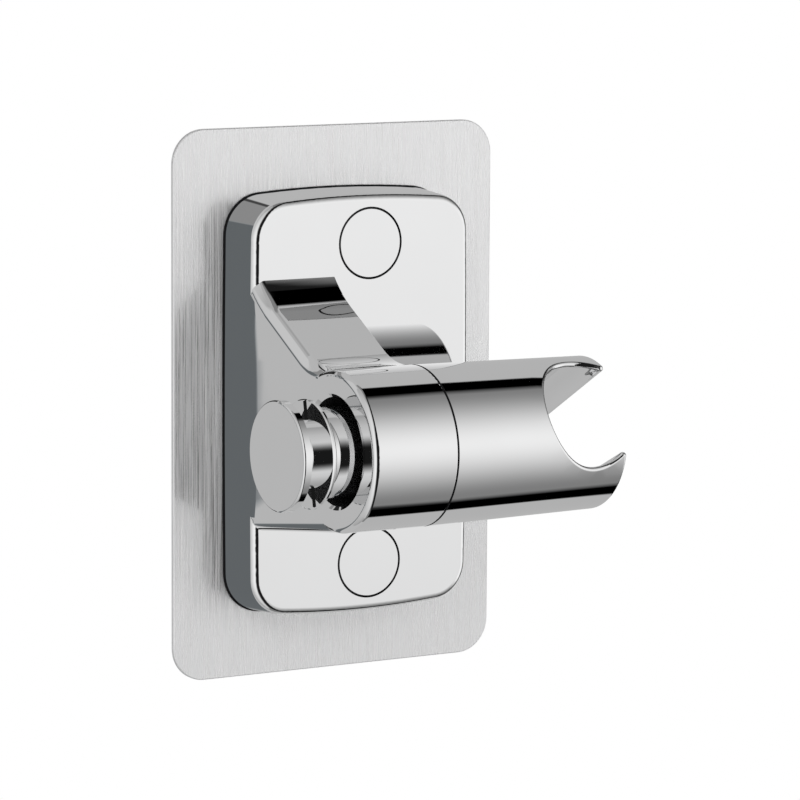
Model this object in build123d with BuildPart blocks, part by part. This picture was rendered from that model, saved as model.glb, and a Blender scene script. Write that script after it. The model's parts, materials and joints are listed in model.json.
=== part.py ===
from build123d import *
import os
from math import cos, hypot, isclose, radians, sin, sqrt, tan

# A wall holder for a hand shower. An adhesive plate carries a hollow moulded housing with an arm
# and a cross sleeve, and a sprung push button frees the cradle that turns in the sleeve.
# Millimetres. The origin is the middle of the adhesive's back face, +Y goes into the wall, +Z is up.

# Adhesive and plate
adhesive_thickness = 0.6
adhesive_margin = 2.0
plate_width = 80.0
plate_height = 120.0
plate_thickness = 1.0
plate_corner = 7.5
plate_edge_break = 0.2

# Gasket and base of the housing, measured at the back where it is widest
gasket_thickness = 0.5
gasket_width = 3.4
gasket_overhang = 0.2
base_width = 55.8
base_height = 93.0
base_depth = 12.0
base_corner = 9.0
base_draft = 4.3
side_crown = 0.35
end_crown = 1.6
front_edge_radius = 1.6
wall = 2.4
rib_thickness = 1.8
rib_height = 14.0

# Studs, nuts and their covers
stud_spacing = 70.0
stud_offset = 1.9
stud_diameter = 5.0
stud_clearance = 0.25
thread_fit = 0.05
stud_head_diameter = 11.0
stud_head_thickness = 0.5
washer_thickness = 1.0
washer_diameter = 10.0
nut_thickness = 4.0
nut_across_flats = 8.0
nut_sides = 6
thread_past_nut = 1.2
cover_diameter = 15.8
cover_thickness = 1.6
cover_seam = 0.2
cover_edge = 0.3
cover_skirt = 3.0
cover_skirt_wall = 1.0
cover_lip = 0.9
pocket_floor = 2.8
boss_wall = 1.8

# Arm and sleeve, with the sleeve's axis along X
arm_reach = 46.0
axis_height = -4.4
side_inset = 1.0
arm_top = 28.1
arm_bottom = -26.0
arm_slope = 29.6
arm_root_drop = 1.8
arm_root_radius = 30.0
arm_blend_radius = 16.4
arm_edge_radius = 2.6
arm_root_margin = 0.4
seam_edge_break = 0.3
sleeve_radius = 17.1
sleeve_length = 20.0
sleeve_rim_radius = 1.3
sleeve_wall = 3.3
partition_thickness = 3.0
button_bore_radius = 11.5
button_bore_depth = 9.0
bore_chamfer = 0.7

# Cradle
seam_gap = 0.3
cradle_length = 42.4
cradle_draft = 0.85
cradle_edge_radius = 0.7
spigot_fit = 0.2
spigot_wall = 2.2
spigot_hub_wall = 2.0
core_depth = 21.0
shaft_radius = 5.9
shaft_fit = 0.15
friction_ring_thickness = 1.5
friction_ring_fit = 0.2

# Conical notch for the handle
notch_tilt = 27.9
notch_setback = 7.7
notch_radius = 11.1
notch_half_angle = 1.5

# Push button
press_travel = 3.0
button_projection = 13.6
cap_radius = 11.7
cap_thickness = 1.8
cap_edge = 0.5
cap_plug_room = 0.6
cap_plug_fit = 0.05
flange_setback = 7.0
flange_radius = 11.5
flange_thickness = 0.9
neck_radius = 7.2
neck_wall = 2.3
flange_key_width = 3.1
flange_key_height = 0.4
flange_key_inset = 0.3
flange_key_angle = 11.0
collar_radius = 9.5
collar_wall = 1.3
collar_end_room = 0.4
collar_groove_place = 3.6
collar_groove_width = 0.4
collar_groove_depth = 0.3
spool_web = 2.0
spool_edge = 0.25
shaft_play = 0.1

# Axle screw and return spring
screw_diameter = 4.0
screw_fit = 0.05
screw_hole_clearance = 0.2
screw_head_diameter = 7.6
screw_head_height = 2.4
screw_reach = 10.0
screw_washer_thickness = 0.8
screw_washer_fit = 0.2
screw_slot_width = 0.9
screw_slot_depth = 1.2
screw_slot_share = 0.6
screw_tap_room = 1.0
spring_wire = 1.1
spring_turns = 5
spring_wire_sides = 6
spring_seat = 0.05

# Distances out from the wall
plate_front = adhesive_thickness + plate_thickness
gasket_front = plate_front + gasket_thickness
base_front = plate_front + base_depth
axis_out = plate_front + arm_reach

# Places along X, from the button's cap to the cradle's end
sleeve_left = -(base_width / 2 - side_inset)
sleeve_right = sleeve_left + sleeve_length
bore_floor = sleeve_left + button_bore_depth
partition_right = bore_floor + partition_thickness
ring_face = partition_right + friction_ring_thickness
cradle_shoulder = sleeve_right + seam_gap
cradle_end = cradle_shoulder + cradle_length
core_end = ring_face + core_depth
cap_front = sleeve_left - button_projection
cap_back = cap_front + cap_thickness
flange_front = cap_front + flange_setback
flange_back = flange_front + flange_thickness
web_right = flange_back + spool_web
collar_end = bore_floor - press_travel - collar_end_room
shaft_end = web_right + shaft_play
screw_washer_left = flange_back - screw_washer_thickness
screw_head_left = screw_washer_left - screw_head_height

# Radii about the sleeve's axis
counterbore_radius = sleeve_radius - sleeve_wall
spigot_radius = counterbore_radius - spigot_fit
partition_hole_radius = shaft_radius + shaft_fit
neck_core_radius = neck_radius - neck_wall
spring_pocket_radius = collar_radius - collar_wall
spring_radius = (shaft_radius + spring_pocket_radius) / 2
screw_hole_radius = screw_diameter / 2 + screw_hole_clearance

# Planes and axes. A wall plane's sketch has X across and Z up; an arm plane's sketch has the
# distance from the wall across and Z up; the turning plane's sketch has X across and radius up.
turning_axis = Axis((0, -axis_out, axis_height), (1, 0, 0))
turning_plane = Plane((0, -axis_out, axis_height), x_dir=(1, 0, 0), z_dir=(0, -1, 0))
notch_plane = Plane(
    (cradle_end - notch_setback, -axis_out, axis_height),
    x_dir=(1, 0, 0),
    z_dir=(0, -cos(radians(notch_tilt)), sin(radians(notch_tilt))),
)
stud_places = [(stud_offset, stud_spacing / 2), (stud_offset, -stud_spacing / 2)]


def wall_plane(out):
    """Plane parallel to the wall, facing out of it."""
    return Plane.XZ.offset(out)


def arm_plane(x):
    """Plane across the sleeve's axis, facing left, with the wall at its origin."""
    return Plane((x, 0, 0), x_dir=(0, -1, 0), z_dir=(-1, 0, 0))


def base_outline(inset):
    """Rounded outline of the base at its back, drawn in from its edge by inset."""
    half_width = base_width / 2 - inset
    half_height = base_height / 2 - inset
    corner_x = half_width - side_crown
    corner_z = half_height - end_crown
    with BuildLine() as sides:
        ThreePointArc((corner_x, -corner_z), (half_width, 0), (corner_x, corner_z))
        ThreePointArc((corner_x, corner_z), (0, half_height), (-corner_x, corner_z))
        ThreePointArc((-corner_x, corner_z), (-half_width, 0), (-corner_x, -corner_z))
        ThreePointArc((-corner_x, -corner_z), (0, -half_height), (corner_x, -corner_z))
    make_face(sides.edges())
    fillet(vertices(), radius=base_corner - inset)


def arm_top_points():
    """Ends of the straight slope on the arm's top, and the point where its blend touches the sleeve."""
    along = Vector(cos(radians(arm_slope)), -sin(radians(arm_slope)))
    square = Vector(sin(radians(arm_slope)), cos(radians(arm_slope)))
    root = Vector(base_front, arm_top)
    rise = arm_root_drop * cos(radians(arm_slope))
    slope_start = root - square * rise + along * sqrt(2 * arm_root_radius * rise - rise**2)
    axis = Vector(axis_out, axis_height)
    level = square.dot(slope_start - axis)
    reach = sleeve_radius + arm_blend_radius
    run = sqrt(reach**2 - (level + arm_blend_radius) ** 2)
    slope_end = axis + square * level - along * run
    touch = axis + (slope_end + square * arm_blend_radius - axis) * (sleeve_radius / reach)
    return slope_start, slope_end, touch


def arm_under_touch():
    """Point where the arm's straight underside touches the sleeve's circle."""
    run = axis_out - base_front
    fall = axis_height - arm_bottom
    span = hypot(run, fall)
    inward = sleeve_radius / span
    cross = sqrt(span**2 - sleeve_radius**2) / span
    return Vector(
        axis_out - sleeve_radius * (inward * run - cross * fall) / span,
        axis_height - sleeve_radius * (inward * fall + cross * run) / span,
    )


def arm_section(back):
    """Section of the arm from the depth called back to the line where it touches the sleeve."""
    slope_start, slope_end, touch = arm_top_points()
    with BuildLine() as outline:
        RadiusArc((base_front, arm_top), slope_start, -arm_root_radius)
        Line(slope_start, slope_end)
        RadiusArc(slope_end, touch, -arm_blend_radius)
        Polyline(
            touch,
            arm_under_touch(),
            (base_front, arm_bottom),
            (back, arm_bottom),
            (back, arm_top),
            (base_front, arm_top),
        )
    make_face(outline.edges())


def turned(points):
    """Solid of revolution about the sleeve's axis from a closed outline of (x, radius) points."""
    with BuildSketch(turning_plane) as section:
        with BuildLine():
            Polyline(*points, close=True)
        make_face()
    revolve(section.sketch, axis=turning_axis)


def finish(name, builder):
    """Names a finished piece and writes it out."""
    builder.part.label = name
    export_step(builder.part, f"parts/{name}.step")


os.makedirs("parts", exist_ok=True)

# Adhesive sheet, a little smaller than the plate
with BuildPart() as adhesive_pad:
    with BuildSketch(wall_plane(0)):
        RectangleRounded(
            plate_width - 2 * adhesive_margin,
            plate_height - 2 * adhesive_margin,
            plate_corner - adhesive_margin,
        )
    extrude(amount=adhesive_thickness)
finish("adhesive_pad", adhesive_pad)

# Plate, with a hole for each stud
with BuildPart() as mounting_plate:
    with BuildSketch(wall_plane(adhesive_thickness)):
        RectangleRounded(plate_width, plate_height, plate_corner)
        with Locations(*stud_places):
            Circle(stud_diameter / 2, mode=Mode.SUBTRACT)
    extrude(amount=plate_thickness)
    outer_edge = mounting_plate.faces().sort_by(Axis.Y)[0].outer_wire().edges()
    chamfer(outer_edge, length=plate_edge_break)
    with BuildSketch(wall_plane(adhesive_thickness)):
        with Locations(*stud_places):
            Circle(stud_head_diameter / 2)
    extrude(amount=stud_head_thickness, mode=Mode.SUBTRACT)
finish("mounting_plate", mounting_plate)

# Studs, whose flat heads lie in the back of the plate
seat_out = gasket_front + pocket_floor
stud_end = seat_out + washer_thickness + nut_thickness + thread_past_nut
with BuildPart() as mounting_studs:
    with BuildSketch(wall_plane(adhesive_thickness)):
        with Locations(*stud_places):
            Circle(stud_head_diameter / 2)
    extrude(amount=stud_head_thickness)
    with BuildSketch(wall_plane(adhesive_thickness)):
        with Locations(*stud_places):
            Circle(stud_diameter / 2)
    extrude(amount=stud_end - adhesive_thickness)
finish("mounting_studs", mounting_studs)

# Gasket, a closed band under the rim of the housing
with BuildPart() as base_gasket:
    with BuildSketch(wall_plane(plate_front)):
        base_outline(-gasket_overhang)
        with BuildSketch(wall_plane(plate_front), mode=Mode.SUBTRACT):
            base_outline(gasket_width - gasket_overhang)
    extrude(amount=gasket_thickness)
finish("base_gasket", base_gasket)

# Drafted block of the base's outline, run on past the front face for the foot of the arm
base_run = base_depth - gasket_thickness
block_run = base_run + side_inset / tan(radians(base_draft))
with BuildPart() as base_block:
    with BuildSketch(wall_plane(gasket_front)):
        base_outline(0)
    with BuildSketch(wall_plane(gasket_front + block_run)):
        base_outline(block_run * tan(radians(base_draft)))
    loft(ruled=True)

# Foot of the arm on the base's drafted side, kept inside the arm's rounded edge
with BuildPart() as arm_root:
    add(base_block.part)
    with BuildSketch(arm_plane(sleeve_right)):
        arm_section(gasket_front)
        offset(amount=-arm_edge_radius - arm_root_margin)
    extrude(amount=base_width, mode=Mode.INTERSECT)

# Arm behind the sleeve, its left edge broadly rounded along the top and underside
with BuildPart() as arm_web:
    with BuildSketch(arm_plane(sleeve_right)):
        arm_section(gasket_front)
    extrude(amount=sleeve_length)
    left_outline = arm_web.edges().group_by(Axis.X)[0].sort_by(Axis.Y)
    fillet(left_outline[1:-1], radius=arm_edge_radius)

# Sleeve with its own finer rim, joined to the arm
with BuildPart() as arm:
    turned(
        [
            (sleeve_left, 0),
            (sleeve_left, sleeve_radius),
            (sleeve_right, sleeve_radius),
            (sleeve_right, 0),
        ]
    )
    left_rim = arm.edges().group_by(Axis.X)[0]
    fillet(left_rim, radius=sleeve_rim_radius)
    add(arm_web.part)
    right_outline = arm.edges().group_by(Axis.X)[-1]
    fillet(right_outline, radius=seam_edge_break)

# Hollow under the arm, up to the sleeve's own wall
with BuildPart() as arm_hollow:
    with BuildSketch(arm_plane(sleeve_right - wall)):
        arm_section(gasket_front - 2 * wall)
        offset(amount=-wall)
        with Locations((axis_out, axis_height)):
            Circle(sleeve_radius, mode=Mode.SUBTRACT)
    extrude(amount=sleeve_length - 2 * wall)

# Housing: base, arm and sleeve in one moulding, hollow from the back
front_wall_back = base_front - wall
pocket_radius = cover_diameter / 2 - cover_lip
boss_radius = cover_diameter / 2 + boss_wall
with BuildPart() as housing:
    add(base_block.part)
    split(bisect_by=wall_plane(base_front), keep=Keep.BOTTOM)
    front_rim = housing.faces().sort_by(Axis.Y)[0].edges()
    fillet(front_rim, radius=front_edge_radius)
    add(arm_root.part)
    add(arm.part)
    # Hollow of the base, then the arm's
    with BuildSketch(wall_plane(gasket_front)):
        base_outline(wall)
    with BuildSketch(wall_plane(front_wall_back)):
        base_outline(wall + (base_run - wall) * tan(radians(base_draft)))
    loft(ruled=True, mode=Mode.SUBTRACT)
    add(arm_hollow.part, mode=Mode.SUBTRACT)
    # Bosses for the studs and the ribs that tie them to the arm
    with BuildSketch(wall_plane(gasket_front)):
        with Locations(*stud_places):
            Circle(boss_radius)
        with Locations((sleeve_right - wall / 2, 0)):
            Rectangle(rib_thickness, stud_spacing)
        with Locations((0, rib_height), (0, -rib_height)):
            Rectangle(base_width - 2 * wall, rib_thickness)
    extrude(amount=base_run - wall)
    # Cover recesses, nut pockets and stud holes, from the front
    with BuildSketch(wall_plane(base_front)):
        with Locations(*stud_places):
            Circle(cover_diameter / 2)
    extrude(amount=-cover_thickness, mode=Mode.SUBTRACT)
    with BuildSketch(wall_plane(seat_out)):
        with Locations(*stud_places):
            Circle(pocket_radius)
    extrude(amount=base_front - seat_out, mode=Mode.SUBTRACT)
    with BuildSketch(wall_plane(gasket_front)):
        with Locations(*stud_places):
            Circle(stud_diameter / 2 + stud_clearance)
    extrude(amount=pocket_floor, mode=Mode.SUBTRACT)
    # Button bore with its lead-in, the shaft's hole and the cradle's counterbore
    with BuildSketch(turning_plane):
        with BuildLine():
            Polyline(
                (sleeve_left, 0),
                (sleeve_left, button_bore_radius + bore_chamfer),
                (sleeve_left + bore_chamfer, button_bore_radius),
                (bore_floor, button_bore_radius),
                (bore_floor, partition_hole_radius),
                (partition_right, partition_hole_radius),
                (partition_right, counterbore_radius),
                (sleeve_right, counterbore_radius),
                (sleeve_right, 0),
                close=True,
            )
        make_face()
    revolve(axis=turning_axis, mode=Mode.SUBTRACT)
finish("housing", housing)

# Washers and nuts on the studs, in the pockets behind the covers
with BuildPart() as stud_washers:
    with BuildSketch(wall_plane(seat_out)):
        with Locations(*stud_places):
            Circle(washer_diameter / 2)
            Circle(stud_diameter / 2 + stud_clearance, mode=Mode.SUBTRACT)
    extrude(amount=washer_thickness)
finish("stud_washers", stud_washers)

with BuildPart() as stud_nuts:
    with BuildSketch(wall_plane(seat_out + washer_thickness)):
        with Locations(*stud_places):
            RegularPolygon(nut_across_flats / 2, nut_sides, major_radius=False)
            Circle(stud_diameter / 2 + thread_fit, mode=Mode.SUBTRACT)
    extrude(amount=nut_thickness)
finish("stud_nuts", stud_nuts)

# Covers, each a disc with a ring that snaps into its pocket
for cover_name, cover_place in zip(("upper_screw_cover", "lower_screw_cover"), stud_places):
    with BuildPart() as cover:
        with BuildSketch(wall_plane(base_front - cover_thickness)):
            with Locations(cover_place):
                Circle(cover_diameter / 2 - cover_seam)
        extrude(amount=cover_thickness)
        rim = cover.faces().sort_by(Axis.Y)[0].edges()
        chamfer(rim, length=cover_edge)
        with BuildSketch(wall_plane(base_front - cover_thickness)):
            with Locations(cover_place):
                Circle(pocket_radius - cover_seam)
                Circle(pocket_radius - cover_seam - cover_skirt_wall, mode=Mode.SUBTRACT)
        extrude(amount=-cover_skirt)
    finish(cover_name, cover)

# Friction ring on the floor of the cradle's counterbore
with BuildPart() as friction_ring:
    turned(
        [
            (partition_right, partition_hole_radius + friction_ring_fit),
            (ring_face, partition_hole_radius + friction_ring_fit),
            (ring_face, counterbore_radius - friction_ring_fit),
            (partition_right, counterbore_radius - friction_ring_fit),
        ]
    )
finish("friction_ring", friction_ring)

# Return spring round the shaft, between the partition and the spool's web, its wire drawn with flats
spring_length = bore_floor - web_right - spring_wire - 2 * spring_seat
with BuildPart() as return_spring:
    with BuildLine() as coil:
        Helix(
            pitch=spring_length / spring_turns,
            height=spring_length,
            radius=spring_radius,
            center=(web_right + spring_wire / 2 + spring_seat, -axis_out, axis_height),
            direction=(1, 0, 0),
        )
    with BuildSketch(Plane(origin=coil.line @ 0, z_dir=coil.line % 0)):
        RegularPolygon(spring_wire / 2, spring_wire_sides)
    sweep(path=coil.line, is_frenet=True)
finish("return_spring", return_spring)

# Button spool: neck, flange and collar turned in one, with a core for the screw and a spring pocket
with BuildPart() as button_spool:
    turned(
        [
            (cap_back, neck_core_radius),
            (cap_back, neck_radius),
            (flange_front, neck_radius),
            (flange_front, flange_radius),
            (flange_back, flange_radius),
            (flange_back, collar_radius),
            (flange_back + collar_groove_place, collar_radius),
            (flange_back + collar_groove_place, collar_radius - collar_groove_depth),
            (flange_back + collar_groove_place + collar_groove_width, collar_radius - collar_groove_depth),
            (flange_back + collar_groove_place + collar_groove_width, collar_radius),
            (collar_end, collar_radius),
            (collar_end, spring_pocket_radius),
            (web_right, spring_pocket_radius),
            (web_right, screw_hole_radius),
            (flange_back, screw_hole_radius),
            (flange_back, neck_core_radius),
        ]
    )
    flange_rims = [
        edge
        for edge in button_spool.edges().filter_by(GeomType.CIRCLE)
        if isclose(edge.radius, flange_radius)
    ]
    chamfer(flange_rims, length=spool_edge)
    # Two low keys on the flange's face, from the neck nearly out to its rim
    key_reach = flange_radius - flange_key_inset
    key_root = (neck_core_radius + neck_radius) / 2
    key_plane = Plane(
        (flange_front - flange_key_height, -axis_out, axis_height),
        x_dir=(0, sin(radians(flange_key_angle)), cos(radians(flange_key_angle))),
        z_dir=(1, 0, 0),
    )
    with BuildSketch(key_plane):
        with Locations(((key_reach + key_root) / 2, 0), (-(key_reach + key_root) / 2, 0)):
            Rectangle(key_reach - key_root, flange_key_width)
    extrude(amount=flange_key_height)
finish("button_spool", button_spool)

# Cap, pressed into the spool's neck
with BuildPart() as button_cap:
    turned([(cap_front, 0), (cap_front, cap_radius), (cap_back, cap_radius), (cap_back, 0)])
    fillet(button_cap.faces().sort_by(Axis.X)[0].edges(), radius=cap_edge)
    turned(
        [
            (cap_back, 0),
            (cap_back, neck_core_radius - cap_plug_fit),
            (screw_head_left - cap_plug_room, neck_core_radius - cap_plug_fit),
            (screw_head_left - cap_plug_room, 0),
        ]
    )
finish("button_cap", button_cap)

# Washer and screw that tie the spool to the cradle's shaft
with BuildPart() as screw_washer:
    turned(
        [
            (screw_washer_left, screw_hole_radius),
            (flange_back, screw_hole_radius),
            (flange_back, neck_core_radius - screw_washer_fit),
            (screw_washer_left, neck_core_radius - screw_washer_fit),
        ]
    )
finish("screw_washer", screw_washer)

with BuildPart() as axle_screw:
    turned(
        [
            (screw_head_left, 0),
            (screw_head_left, screw_head_diameter / 2),
            (screw_washer_left, screw_head_diameter / 2),
            (screw_washer_left, screw_diameter / 2),
            (shaft_end + screw_reach, screw_diameter / 2),
            (shaft_end + screw_reach, 0),
        ]
    )
    with BuildSketch(Plane((screw_head_left, -axis_out, axis_height), x_dir=(0, 1, 0), z_dir=(1, 0, 0))):
        Rectangle(screw_head_diameter * screw_slot_share, screw_slot_width)
        Rectangle(screw_slot_width, screw_head_diameter * screw_slot_share)
    extrude(amount=screw_slot_depth, mode=Mode.SUBTRACT)
finish("axle_screw", axle_screw)

# Cradle: shaft, cored spigot and barrel turned in one, then the conical notch
barrel_end_radius = sleeve_radius - cradle_length * tan(radians(cradle_draft))
hub_radius = shaft_radius + spigot_hub_wall
core_radius = spigot_radius - spigot_wall
tap_end = shaft_end + screw_reach + screw_tap_room
tap_radius = screw_diameter / 2 + screw_fit
notch_reach = 2 * sleeve_radius
with BuildPart() as cradle:
    turned(
        [
            (shaft_end, tap_radius),
            (shaft_end, shaft_radius),
            (ring_face, shaft_radius),
            (ring_face, hub_radius),
            (core_end, hub_radius),
            (core_end, core_radius),
            (ring_face, core_radius),
            (ring_face, spigot_radius),
            (cradle_shoulder, spigot_radius),
            (cradle_shoulder, sleeve_radius),
            (cradle_end, barrel_end_radius),
            (cradle_end, 0),
            (tap_end, 0),
            (tap_end, tap_radius),
        ]
    )
    with BuildSketch(notch_plane.offset(-notch_reach)):
        Circle(notch_radius - notch_reach * tan(radians(notch_half_angle)))
    extrude(amount=2 * notch_reach, taper=-notch_half_angle, mode=Mode.SUBTRACT)
    horn_ends = cradle.faces().group_by(Axis.X)[-1]
    notch_rims = cradle.faces().filter_by(GeomType.CONE).sort_by(Axis.X)[-1].edges()
    fillet(notch_rims + horn_ends.edges(), radius=cradle_edge_radius)
finish("cradle", cradle)
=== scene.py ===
import json
import math

import bmesh
import bpy
import numpy as np
from mathutils import Matrix, Vector


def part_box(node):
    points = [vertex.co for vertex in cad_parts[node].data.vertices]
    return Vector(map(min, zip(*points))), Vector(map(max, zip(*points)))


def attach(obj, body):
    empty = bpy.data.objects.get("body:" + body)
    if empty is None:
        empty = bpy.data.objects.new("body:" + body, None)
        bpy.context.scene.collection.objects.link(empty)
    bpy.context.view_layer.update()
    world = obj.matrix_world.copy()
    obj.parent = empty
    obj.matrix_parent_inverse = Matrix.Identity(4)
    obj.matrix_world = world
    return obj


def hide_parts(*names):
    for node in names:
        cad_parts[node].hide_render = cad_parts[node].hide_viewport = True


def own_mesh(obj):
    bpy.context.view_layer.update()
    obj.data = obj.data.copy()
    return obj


# Looks for a wall holder for a hand shower: polished chrome, a brushed steel plate and a light tent.
# Metres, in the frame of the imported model: +Y goes into the wall, +Z is up.

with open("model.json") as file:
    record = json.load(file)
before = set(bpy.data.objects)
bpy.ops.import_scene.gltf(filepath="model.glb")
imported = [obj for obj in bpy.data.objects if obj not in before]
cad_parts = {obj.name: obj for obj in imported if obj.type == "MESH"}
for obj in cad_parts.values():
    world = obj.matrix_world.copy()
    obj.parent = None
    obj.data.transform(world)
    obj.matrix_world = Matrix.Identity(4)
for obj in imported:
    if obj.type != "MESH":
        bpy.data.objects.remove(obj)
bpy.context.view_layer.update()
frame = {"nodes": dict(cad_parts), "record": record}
nodes = frame["nodes"]
record = frame["record"]
behaviour = record["behaviour"]
body_of = {node: body for body, held in behaviour["bodies"].items() for node in held}
slot_of = {subpart["node"]: subpart["material_slot"] for subpart in record["subparts"]}
joints = {joint["name"]: joint for joint in behaviour["joints"]}

# Camera, fitted to the corners of the plate and the base
photo_width_px = 800
lens_px = 4471.0
sensor_width_mm = 36.0
view_azimuth = math.radians(31.0)
view_elevation = math.radians(7.625)
view_roll = math.radians(0.328)
view_distance = 0.982
view_aim = Vector((0.0123, -0.0091, -0.0005))

# White room, floor and lamps
room_light = 0.55
room_white = 1.0
floor_drop = 1.2
floor_radius = 3.0
floor_sides = 96
floor_cloud_scale = 6.0
floor_tone = (0.88, 0.92)
floor_white_share = 0.95
key_place = (-0.45, -0.75, 0.55)
key_power = 6.2
key_size = 0.5
fill_place = (0.60, -0.60, 0.20)
fill_power = 3.0
fill_size = 0.6

# Light tent by direction, in degrees: turn goes from the front up and over to the back, spin from the
# left round to the front, and rise is upward. Across is the direction's own X.
tent_radius = 1.1
tent_rows = 241
tent_columns = 480
front_glow = 0.96
front_edge_glow = 0.23
front_middle = 5.0
front_spread = 76.0
gap_middle = 2.0
gap_fade = (76.0, 84.0)
gap_across = (0.36, 0.68)
gap_across_soft = 0.05
back_glow = 0.50
back_low_glow = 0.49
back_left_glow = 0.52
back_edge = (99.0, 101.0)
back_change_rise = (18.0, 40.0)
back_change_across = (0.0, 0.4)
side_glow = 1.0
side_back_glow = 0.50
side_end_share = 0.62
side_spin = (-46.0, 74.0)
side_spin_soft = 1.0
side_fade_spin = (-46.0, 30.0)
side_middle_rise = -8.0
side_fade_rise = (8.0, 65.0)
crown_glow = 0.45
crown_rise = (63.0, 67.0)
haze_glow = 0.62
haze_spin = (-46.0, -22.0)
haze_spin_soft = 3.0
haze_rise = (10.0, 65.0)
haze_rise_soft = 4.0

# Zones of the tent by the face that mirrors them to the camera, in degrees: lean is from facing front,
# bearing goes from leaning left round by the top, and tilt is from facing left
rim_glow = 1.0
rim_bearing = (120.0, 140.0)
rim_lean = (8.0, 31.0)
rim_lean_soft = 2.0
line_glow = 0.012
line_bearing = (-180.0, -90.0, -40.0, 40.0, 90.0, 180.0)
line_near = (32.0, 36.0, 12.5, 12.5, 48.0, 32.0)
line_near_soft = 1.5
line_far = (62.0, 41.0, 32.0, 32.0, 53.0, 62.0)
line_fade = (3.0, 2.0, 9.0, 9.0, 2.0, 3.0)
back_rim_glow = 0.02
back_rim_lean = (88.6, 89.4)
back_rim_tilt = (22.0, 65.0)
back_rim_tilt_soft = 2.0
flank_lean = 85.5
flank_lean_soft = 0.3
flank_bearing_soft = 0.8
card_reach = (-3.0, 2.5)
corner_reach = (-2.2, 1.7)
corner_bearing = (2.5, 4.5)
card_glow = 0.145
card_tint = (0.90, 0.98, 1.03)
card_bearing = (-66.0, 25.0)
shoulder_glow = 0.28
shoulder_bearing = (25.0, 58.0)
seam_glow = 0.06
seam_bearing = (58.0, 63.0)
heel_glow = 0.25
heel_bearing = (-95.0, -66.0)
least_half = 1e-6

# Finishes, with noise scales per metre and relief heights in metres
whole_span = (0.0, 1.0)
noise_span = (0.3, 0.7)
chrome_dark = (0.850, 0.851, 0.853)
chrome_light = (0.880, 0.881, 0.883)
chrome_rough = (0.012, 0.035)
chrome_cloud_scale = 60.0
chrome_wave_scale = 35.0
chrome_wave_strength = 0.02
chrome_wave_height = 0.0004
brushed_mirror_line = (0.67, 0.67, 0.672)
brushed_dull_line = (0.96, 0.96, 0.963)
brushed_rough = (0.05, 0.58)
brushed_line_scale = 14000.0
brushed_line_stretch = (1.0, 1.0, 0.004)
brushed_line_span = (0.34, 0.54)
brushed_relief_scale = 900.0
brushed_relief_stretch = (1.0, 1.0, 0.012)
brushed_relief_strength = 0.05
brushed_relief_height = 0.00002
steel_blue = 1.01
steel_rough = (0.20, 0.36)
steel_cloud_scale = 700.0
matt_rough_spread = 0.06
matt_relief_strength = 0.4

# Places that divide polished faces from the painted shade in the bores, seams and recesses
axis = Vector(joints["cradle_turn"]["pos_m"])
sleeve_left = -0.0269
sleeve_radius = 0.0171
bore_lip = 0.0007
seam_round = 0.0003
cradle_shoulder = -0.0066
cap_back = -0.0387
touch = 0.00003

# Smoothing of the copied meshes
weld_step = 0.000001
least_area = 1e-13
crease = math.cos(math.radians(34.0))
flat_turn = math.radians(1.0)
gentle_turn = math.radians(12.0)
flat_weight = 10000.0
gentle_weight = 100.0
round_weight = 1.0

# Return spring
spring_turns = 5
spring_wire = 0.0011
coil_steps = 48
wire_steps = 12


def add_object(name, data):
    """A new object for a mesh, camera or lamp, linked to the scene."""
    made = bpy.data.objects.new(name, data)
    bpy.context.scene.collection.objects.link(made)
    return made


class Shader:
    """A node material or world with short calls to add and link its nodes."""

    def __init__(self, name, owner=None):
        self.data = owner or bpy.data.materials.new(name)
        self.data.use_nodes = True
        self.tree = self.data.node_tree
        self.tree.nodes.clear()

    def put(self, socket, value):
        """Links an output to the socket, or sets a plain value on it."""
        if isinstance(value, bpy.types.NodeSocket):
            self.tree.links.new(value, socket)
        else:
            socket.default_value = value

    def node(self, kind, inputs=None, **settings):
        made = self.tree.nodes.new("ShaderNode" + kind)
        for key, value in settings.items():
            setattr(made, key, value)
        for key, value in (inputs or {}).items():
            self.put(made.inputs[key], value)
        return made

    def math(self, operation, first, second):
        return self.node("Math", {0: first, 1: second}, operation=operation).outputs[0]

    def map(self, value, span, new_span):
        """The value moved from one span of numbers to another."""
        keys = ("Value", "From Min", "From Max", "To Min", "To Max")
        return self.node("MapRange", dict(zip(keys, (value, *span, *new_span)))).outputs["Result"]

    def ramp(self, value, first, last):
        """A colour between two colours, by a value from nought to one."""
        made = self.node("ValToRGB", {0: value})
        made.color_ramp.elements[0].color = (*first, 1)
        made.color_ramp.elements[1].color = (*last, 1)
        return made.outputs[0]

    def noise(self, scale, stretch=(1, 1, 1), detail=3.0):
        place = self.node("TexCoord").outputs["Object"]
        mapping = self.node("Mapping", {"Vector": place, "Scale": stretch})
        made = self.node("TexNoise", {"Vector": mapping.outputs[0], "Scale": scale, "Detail": detail})
        return made.outputs[0]

    def bump(self, height, strength, distance):
        made = self.node("Bump", {"Height": height, "Strength": strength, "Distance": distance})
        return made.outputs[0]

    def seen(self):
        """One for rays from the camera and from polished or clear surfaces."""
        path = self.node("LightPath").outputs
        seen = self.math("MAXIMUM", path["Is Camera Ray"], path["Is Glossy Ray"])
        return self.math("MAXIMUM", seen, path["Is Transmission Ray"])

    def output(self, surface):
        """Links the finished surface, and gives back the material or world."""
        kind = "OutputWorld" if isinstance(self.data, bpy.types.World) else "OutputMaterial"
        self.tree.links.new(surface, self.node(kind).inputs["Surface"])
        return self.data

    def principled(self, inputs):
        return self.output(self.node("BsdfPrincipled", inputs).outputs[0])


# Camera

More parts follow.
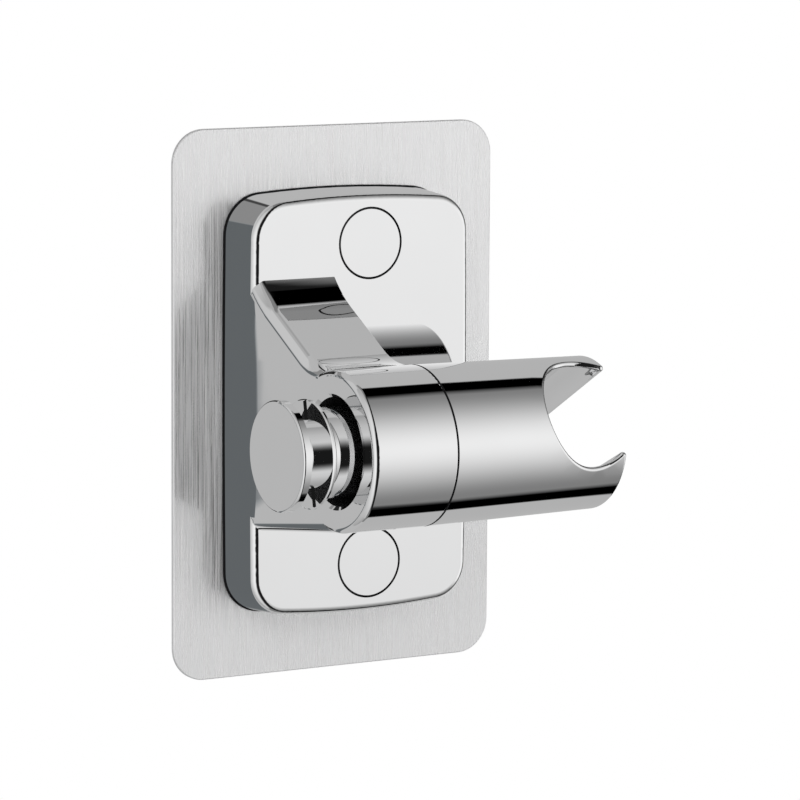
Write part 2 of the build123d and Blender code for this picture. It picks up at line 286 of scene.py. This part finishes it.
def make_camera():
    data = bpy.data.cameras.new("photo_camera")
    data.sensor_width = sensor_width_mm
    data.lens = lens_px / photo_width_px * sensor_width_mm
    camera = add_object("photo_camera", data)
    turn = (
        Matrix.Rotation(-view_azimuth, 4, "Z")
        @ Matrix.Rotation(math.pi / 2 - view_elevation, 4, "X")
        @ Matrix.Rotation(view_roll, 4, "Z")
    )
    camera.matrix_world = Matrix.Translation(view_aim) @ turn @ Matrix.Translation((0, 0, view_distance))
    bpy.context.scene.camera = camera


make_camera()


# Studio

def make_world():
    """A room that is white to the eye and in mirrors, and lights matt surfaces less."""
    world = bpy.data.worlds.new("white_room")
    bpy.context.scene.world = world
    shader = Shader("white_room", world)
    strength = shader.map(shader.seen(), whole_span, (room_light, room_white))
    shader.output(shader.node("Background", {"Color": (1, 1, 1, 1), "Strength": strength}).outputs[0])


def ramp_up(value, low, high):
    """Nought up to low and one from high on, with a straight ramp between them."""
    return np.clip((value - low) / (high - low), 0.0, 1.0)


def ease_up(value, low, high):
    """The same with a smooth start and end."""
    share = ramp_up(value, low, high)
    return share * share * (3 - 2 * share)


def within(value, limits, soft):
    """One between the limits and nought outside them, with soft edges."""
    low, high = limits
    return ramp_up(value, low - soft, low + soft) * (1 - ramp_up(value, high - soft, high + soft))


def blend(first, second, share):
    return first + (second - first) * share


def mirroring_face(direction):
    """Lean, bearing and tilt of the face that shows this direction to the camera."""
    toward_camera = np.array([
        -math.sin(view_azimuth) * math.cos(view_elevation),
        -math.cos(view_azimuth) * math.cos(view_elevation),
        math.sin(view_elevation),
    ])
    half = direction + toward_camera
    half /= np.maximum(np.linalg.norm(half, axis=1, keepdims=True), least_half)
    lean = np.degrees(np.arccos(np.clip(-half[:, 1], -1, 1)))
    bearing = np.degrees(np.arctan2(half[:, 2], -half[:, 0]))
    tilt = np.degrees(np.arccos(np.clip(-half[:, 0], -1, 1)))
    return lean, bearing, tilt


def broad_glow(direction):
    """A soft front, dark gaps over and under it on the right, a grey back and a pale left side."""
    across, y, z = direction.T
    turn = np.degrees(np.arctan2(z, -y))
    spin = np.degrees(np.arctan2(-y, -across))
    rise = np.degrees(np.arcsin(np.clip(z, -1, 1)))
    glow = blend(front_glow, front_edge_glow, ease_up(np.abs(turn - front_middle), 0.0, front_spread))
    steep = np.abs(turn - gap_middle)
    glow = glow * (1 - ramp_up(steep, *gap_fade) * within(across, gap_across, gap_across_soft))
    back = blend(back_low_glow, back_glow, ramp_up(rise, *back_change_rise))
    back = blend(back_left_glow, back, ramp_up(across, *back_change_across))
    glow = blend(glow, back, ramp_up(steep, *back_edge))
    # The left side fades toward the back and up and down, under a grey crown and with a haze behind
    side = blend(side_back_glow, side_glow, ramp_up(spin, *side_fade_spin))
    side = side * blend(1.0, side_end_share, ramp_up(np.abs(rise - side_middle_rise), *side_fade_rise))
    side = blend(side, crown_glow, ramp_up(rise, *crown_rise))
    glow = blend(glow, side, within(spin, side_spin, side_spin_soft))
    haze = within(spin, haze_spin, haze_spin_soft) * within(rise, haze_rise, haze_rise_soft)
    return blend(glow, haze_glow, haze)


def with_edges(glow, lean, bearing, tilt):
    """Adds a dark line for the front's rounded edge, a white rim inside it at right and a dark back rim."""
    rim = ramp_up(np.abs(bearing), *rim_bearing) * within(lean, rim_lean, rim_lean_soft)
    glow = blend(glow, rim_glow, rim)
    near = np.interp(bearing, line_bearing, line_near)
    far = np.interp(bearing, line_bearing, line_far)
    fade = np.interp(bearing, line_bearing, line_fade)
    line = ramp_up(lean, near - line_near_soft, near + line_near_soft) * (1 - ease_up(lean, far, far + fade))
    glow = blend(glow, np.minimum(glow, line_glow), line)
    back_rim = ramp_up(lean, *back_rim_lean) * within(tilt, back_rim_tilt, back_rim_tilt_soft)
    return blend(glow, back_rim_glow, back_rim)


def with_card(glow, lean, bearing):
    """Adds a slate card for the base's left side, with greys over and under it for the corners."""
    corner = ramp_up(np.abs(bearing), *corner_bearing)
    reach = [blend(straight, curved, corner) for straight, curved in zip(card_reach, corner_reach)]
    flank = within(lean - flank_lean, reach, flank_lean_soft)
    for limits, tone in (
        (shoulder_bearing, shoulder_glow), (seam_bearing, seam_glow), (heel_bearing, heel_glow)
    ):
        glow = blend(glow, tone, flank * within(bearing, limits, flank_bearing_soft))
    card = flank * within(bearing, card_bearing, flank_bearing_soft)
    glow = blend(glow, card_glow, card)
    return glow[:, None] * blend(np.ones(3), np.array(card_tint), card[:, None])


def tent_glow(direction):
    """Colour of the tent by direction: broad light, and the narrow zones that edges and sides mirror."""
    lean, bearing, tilt = mirroring_face(direction)
    return with_card(with_edges(broad_glow(direction), lean, bearing, tilt), lean, bearing)


def make_tent():
    """A glowing ball round the scene that only polished and clear surfaces see."""
    rise = np.radians(np.linspace(-90, 90, tent_rows))
    spin = np.linspace(0, 2 * np.pi, tent_columns, endpoint=False)
    rise, spin = (grid.ravel() for grid in np.meshgrid(rise, spin, indexing="ij"))
    direction = np.stack([np.cos(rise) * np.cos(spin), np.cos(rise) * np.sin(spin), np.sin(rise)], axis=1)
    here = np.arange((tent_rows - 1) * tent_columns)
    beside = here - here % tent_columns + (here + 1) % tent_columns
    faces = np.stack([here, beside, beside + tent_columns, here + tent_columns], axis=1)
    mesh = bpy.data.meshes.new("light_tent")
    mesh.from_pydata((direction * tent_radius).tolist(), [], faces.tolist())
    colours = np.ones((len(direction), 4), np.float32)
    colours[:, :3] = tent_glow(direction)
    mesh.color_attributes.new("glow", "FLOAT_COLOR", "POINT").data.foreach_set("color", colours.ravel())
    shader = Shader("tent_cloth")
    glow = shader.node("VertexColor", layer_name="glow").outputs["Color"]
    material = shader.output(shader.node("Emission", {"Color": glow}).outputs[0])
    material.cycles.emission_sampling = "NONE"
    mesh.materials.append(material)
    tent = add_object("light_tent", mesh)
    tent.visible_camera = False
    tent.visible_diffuse = False
    tent.visible_shadow = False


def floor_material():
    """Pale matt floor that looks nearly as white as the room and still takes a shadow."""
    shader = Shader("pale_floor")
    tone = shader.map(shader.noise(floor_cloud_scale), noise_span, floor_tone)
    pale = shader.node("BsdfDiffuse", {"Color": tone, "Roughness": 1.0}).outputs[0]
    white = shader.node("Emission", {"Strength": room_white}).outputs[0]
    share = shader.math("MULTIPLY", shader.seen(), floor_white_share)
    return shader.output(shader.node("MixShader", {0: share, 1: pale, 2: white}).outputs[0])


def make_floor():
    mesh = bpy.data.meshes.new("floor")
    disc = bmesh.new()
    bmesh.ops.create_circle(disc, cap_ends=True, segments=floor_sides, radius=floor_radius)
    disc.to_mesh(mesh)
    disc.free()
    floor = add_object("floor", mesh)
    floor.location.z = -floor_drop
    mesh.materials.append(floor_material())


def make_lamp(name, place, power, size):
    """A soft lamp that looks at the holder and isn't mirrored."""
    data = bpy.data.lights.new(name, "AREA")
    data.energy = power
    data.size = size
    lamp = add_object(name, data)
    lamp.location = place
    lamp.rotation_euler = (view_aim - Vector(place)).to_track_quat("-Z", "Y").to_euler()
    lamp.visible_glossy = False


make_world()
make_tent()
make_floor()
make_lamp("key_lamp", key_place, key_power, key_size)
make_lamp("fill_lamp", fill_place, fill_power, fill_size)


# Materials

def chrome(name):
    """Bright plating with a faint cloud and the slight waviness of a plated moulding."""
    shader = Shader(name)
    cloud = shader.noise(chrome_cloud_scale)
    wave = shader.noise(chrome_wave_scale, detail=1.0)
    return shader.principled({
        "Base Color": shader.ramp(cloud, chrome_dark, chrome_light),
        "Metallic": 1.0,
        "Roughness": shader.map(cloud, noise_span, chrome_rough),
        "Normal": shader.bump(wave, chrome_wave_strength, chrome_wave_height),
    })


def brushed_steel(name):
    """Steel brushed up and down: fine mirror-bright and dull lines beside each other."""
    shader = Shader(name)
    relief = shader.noise(brushed_relief_scale, brushed_relief_stretch, detail=4.0)
    line = shader.noise(brushed_line_scale, brushed_line_stretch, detail=1.0)
    dull = shader.map(line, brushed_line_span, whole_span)
    tangent = shader.node("Tangent", direction_type="UV_MAP", uv_map="brushing")
    return shader.principled({
        "Base Color": shader.ramp(dull, brushed_mirror_line, brushed_dull_line),
        "Metallic": 0.8,
        "Roughness": shader.map(dull, whole_span, brushed_rough),
        "Anisotropic": 0.3,
        "Tangent": tangent.outputs[0],
        "Normal": shader.bump(relief, brushed_relief_strength, brushed_relief_height),
    })


def plain_steel(name, dark, light):
    """Steel with a faint cloud between two greys."""
    shader = Shader(name)
    cloud = shader.noise(steel_cloud_scale)
    greys = [(level, level, level * steel_blue) for level in (dark, light)]
    return shader.principled({
        "Base Color": shader.ramp(cloud, *greys),
        "Metallic": 1.0,
        "Roughness": shader.map(cloud, noise_span, steel_rough),
    })


def matt(name, dark, light, scale, rough, grain, specular=0.5):
    """Rubber, foam or plastic with specks between two colours and a fine grain."""
    shader = Shader(name)
    speck = shader.map(shader.noise(scale, detail=6.0), noise_span, whole_span)
    return shader.principled({
        "Base Color": shader.ramp(speck, dark, light),
        "Roughness": shader.map(speck, whole_span, (rough - matt_rough_spread, rough + matt_rough_spread)),
        "Specular IOR Level": specular,
        "Normal": shader.bump(speck, matt_relief_strength, grain),
    })


finishes = {
    "adhesive": matt(
        "adhesive", dark=(0.56, 0.57, 0.58), light=(0.68, 0.69, 0.70),
        scale=1800.0, rough=0.85, grain=0.0001,
    ),
    "brushed_plate": brushed_steel("brushed_plate"),
    "fastener_steel": plain_steel("fastener_steel", dark=0.60, light=0.72),
    "black_rubber": matt(
        "black_rubber", dark=(0.004, 0.004, 0.005), light=(0.010, 0.010, 0.011),
        scale=3000.0, rough=0.7, grain=0.00005, specular=0.1,
    ),
    "chrome_housing": chrome("chrome_housing"),
    "chrome_trim": chrome("chrome_trim"),
    "chrome_cradle": chrome("chrome_cradle"),
    "bearing_plastic": matt(
        "bearing_plastic", dark=(0.82, 0.81, 0.77), light=(0.88, 0.87, 0.83),
        scale=900.0, rough=0.42, grain=0.00003,
    ),
    "spring_steel": plain_steel("spring_steel", dark=0.54, light=0.66),
}
# Dark matt material that paints shade into the bores, seams, recesses and the covers' rounded edges
painted_crevice_shade = matt(
    "painted_crevice_shade", dark=(0.008, 0.008, 0.009), light=(0.016, 0.016, 0.017),
    scale=1500.0, rough=0.7, grain=0.00003,
)
for node, slot in slot_of.items():
    nodes[node].data.materials.clear()
    nodes[node].data.materials.append(finishes[slot])


# Smooth copies of the solids that show

def unit(vectors):
    return vectors / np.linalg.norm(vectors, axis=-1, keepdims=True)


def angle_between(first, second):
    return np.arccos(np.clip((first * second).sum(axis=-1), -1, 1))


def read_mesh(mesh):
    """Corner points and triangles of a mesh that has only triangles."""
    corners = np.empty(len(mesh.vertices) * 3)
    mesh.vertices.foreach_get("co", corners)
    triangles = np.empty(len(mesh.loops), np.int32)
    mesh.loops.foreach_get("vertex_index", triangles)
    return corners.reshape(-1, 3), triangles.reshape(-1, 3)


def face_weights(triangles, normals, count):
    """Weight of each triangle by its face: flat faces lead, gentle curves follow, small rounds give way."""
    # Triangles of one face share corners, so the face's lowest corner spreads over it and names it
    face = np.arange(count)
    while True:
        lowest = np.repeat(face[triangles].min(axis=1), 3)
        spread = face.copy()
        np.minimum.at(spread, triangles.ravel(), lowest)
        if np.array_equal(spread, face):
            break
        face = spread
    face = face[triangles[:, 0]]
    # The sharpest bend between neighbouring triangles says how curved a face is
    sides = np.sort(np.concatenate([triangles[:, pair] for pair in ([0, 1], [1, 2], [2, 0])]), axis=1)
    owner = np.tile(np.arange(len(triangles)), 3)
    order = np.lexsort((sides[:, 1], sides[:, 0]))
    shared = (sides[order][1:] == sides[order][:-1]).all(axis=1)
    first = owner[order][:-1][shared]
    second = owner[order][1:][shared]
    sharpest = np.zeros(count)
    np.maximum.at(sharpest, face[first], angle_between(normals[first], normals[second]))
    sharpest = sharpest[face]
    kinds = [sharpest < flat_turn, sharpest < gentle_turn]
    return np.select(kinds, [flat_weight, gentle_weight], round_weight)


def corner_normals(points, triangles, normals, weights):
    """A normal for each corner of each triangle, shared by the triangles that meet there uncreased."""
    ahead = unit(points[np.roll(triangles, -1, axis=1)] - points[triangles])
    angles = np.pi - angle_between(ahead, np.roll(ahead, 1, axis=1))
    share = (angles * weights[:, None]).ravel()
    order = np.argsort(triangles.ravel(), kind="stable")
    starts = np.searchsorted(triangles.ravel()[order], np.arange(len(points) + 1))
    smooth = np.empty((triangles.size, 3))
    for start, end in zip(starts[:-1], starts[1:]):
        meeting = order[start:end]
        around = normals[meeting // 3]
        near = (around @ around.T) > crease
        smooth[meeting] = unit(near @ (around * share[meeting][:, None]))
    return smooth


def smooth_copy(node, name):
    """The node's mesh with its faces welded, and normals that run on across faces that touch smoothly."""
    corners, triangles = read_mesh(nodes[node].data)
    _, first, welded = np.unique(
        np.round(corners / weld_step).astype(np.int64), axis=0, return_index=True, return_inverse=True
    )
    points = corners[first]
    joined = welded.reshape(-1)[triangles]
    start = points[joined[:, 0]]
    cross = np.cross(points[joined[:, 1]] - start, points[joined[:, 2]] - start)
    # Triangles that are doubled or have no area are left out
    sound = np.zeros(len(joined), bool)
    sound[np.unique(np.sort(joined, axis=1), axis=0, return_index=True)[1]] = True
    sound &= np.linalg.norm(cross, axis=1) > least_area
    normals = unit(cross[sound])
    weights = face_weights(triangles[sound], normals, len(corners))
    smooth = corner_normals(points, joined[sound], normals, weights)
    mesh = bpy.data.meshes.new(name)
    mesh.from_pydata(points.tolist(), [], joined[sound].tolist())
    mesh.update()
    mesh.shade_smooth()
    mesh.normals_split_custom_set(smooth.tolist())
    return mesh


def dress(node, gets_painted_shade=None):
    """A smooth copy in the node's finish, with painted shade on the faces whose middle the given test picks
    out.
    """
    mesh = smooth_copy(node, "polished_" + node)
    mesh.materials.append(finishes[slot_of[node]])
    if gets_painted_shade:
        mesh.materials.append(painted_crevice_shade)
        for polygon in mesh.polygons:
            polygon.material_index = int(gets_painted_shade(polygon.center))
    piece = add_object("polished_" + node, mesh)
    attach(piece, body_of[node])
    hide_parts(node)
    return piece


def from_turning_axis(point):
    return math.hypot(point.y - axis.y, point.z - axis.z)


covers = ("upper_screw_cover", "lower_screw_cover")
cover_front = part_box(covers[0])[0].y
cover_radius = (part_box(covers[0])[1].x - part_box(covers[0])[0].x) / 2
cover_middles = [(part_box(cover)[0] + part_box(cover)[1]) / 2 for cover in covers]


def in_housing_painted_shade(point):
    """Painted shade inside the sleeve's bores, the seam to the cradle and the recesses of the covers."""
    in_sleeve = point.x > sleeve_left + bore_lip and from_turning_axis(point) < sleeve_radius - seam_round
    in_recess = point.y > cover_front + touch and any(
        math.hypot(point.x - middle.x, point.z - middle.z) < cover_radius + seam_round
        for middle in cover_middles
    )
    return in_sleeve or in_recess


# Bores, seams, the covers' recess faces and rounded edges and the cap's back get painted shade
dress("housing", in_housing_painted_shade)
for cover in covers:
    dress(cover, lambda point: point.y > cover_front + touch)
dress("button_cap", lambda point: point.x > cap_back - touch)
dress("button_spool")
dress("cradle", lambda point: point.x < cradle_shoulder + touch)


def dress_plate():
    """The plate, with a map that lays its brushing up and down."""
    plate = dress("mounting_plate")
    layer = plate.data.uv_layers.new(name="brushing")
    for loop in plate.data.loops:
        place = plate.data.vertices[loop.vertex_index].co
        layer.data[loop.index].uv = (place.x, place.z)
    return plate


# The chrome mirrors the tent behind the plate and its pad, and not the two of them
for flat_piece in (dress_plate(), nodes["adhesive_pad"]):
    flat_piece.visible_glossy = False


# Return spring with a round wire

def make_spring():
    low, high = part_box("return_spring")
    radius = (high.z - low.z - spring_wire) / 2
    run = high.x - low.x - spring_wire
    count = spring_turns * coil_steps + 1
    points = []
    for step in range(count):
        along = step / (count - 1)
        turn = 2 * math.pi * spring_turns * along
        outward = Vector((0, math.cos(turn), math.sin(turn)))
        middle = Vector((low.x + spring_wire / 2 + run * along, axis.y, axis.z)) + outward * radius
        for side in range(wire_steps):
            roll = 2 * math.pi * side / wire_steps
            aside = outward * math.cos(roll) + Vector((math.sin(roll), 0, 0))
            points.append(middle + aside * spring_wire / 2)
    faces = []
    for step in range(count - 1):
        for side in range(wire_steps):
            here = step * wire_steps + side
            beside = step * wire_steps + (side + 1) % wire_steps
            faces.append((here, beside, beside + wire_steps, here + wire_steps))
    faces.append(tuple(range(wire_steps))[::-1])
    faces.append(tuple(range((count - 1) * wire_steps, count * wire_steps)))
    mesh = bpy.data.meshes.new("spring_coil")
    mesh.from_pydata(points, [], faces)
    mesh.shade_smooth()
    mesh.materials.append(finishes["spring_steel"])
    coil = add_object("spring_coil", mesh)
    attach(coil, body_of["return_spring"])
    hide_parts("return_spring")
    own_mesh(coil)


make_spring()

bpy.context.scene.view_settings.view_transform = "Standard"
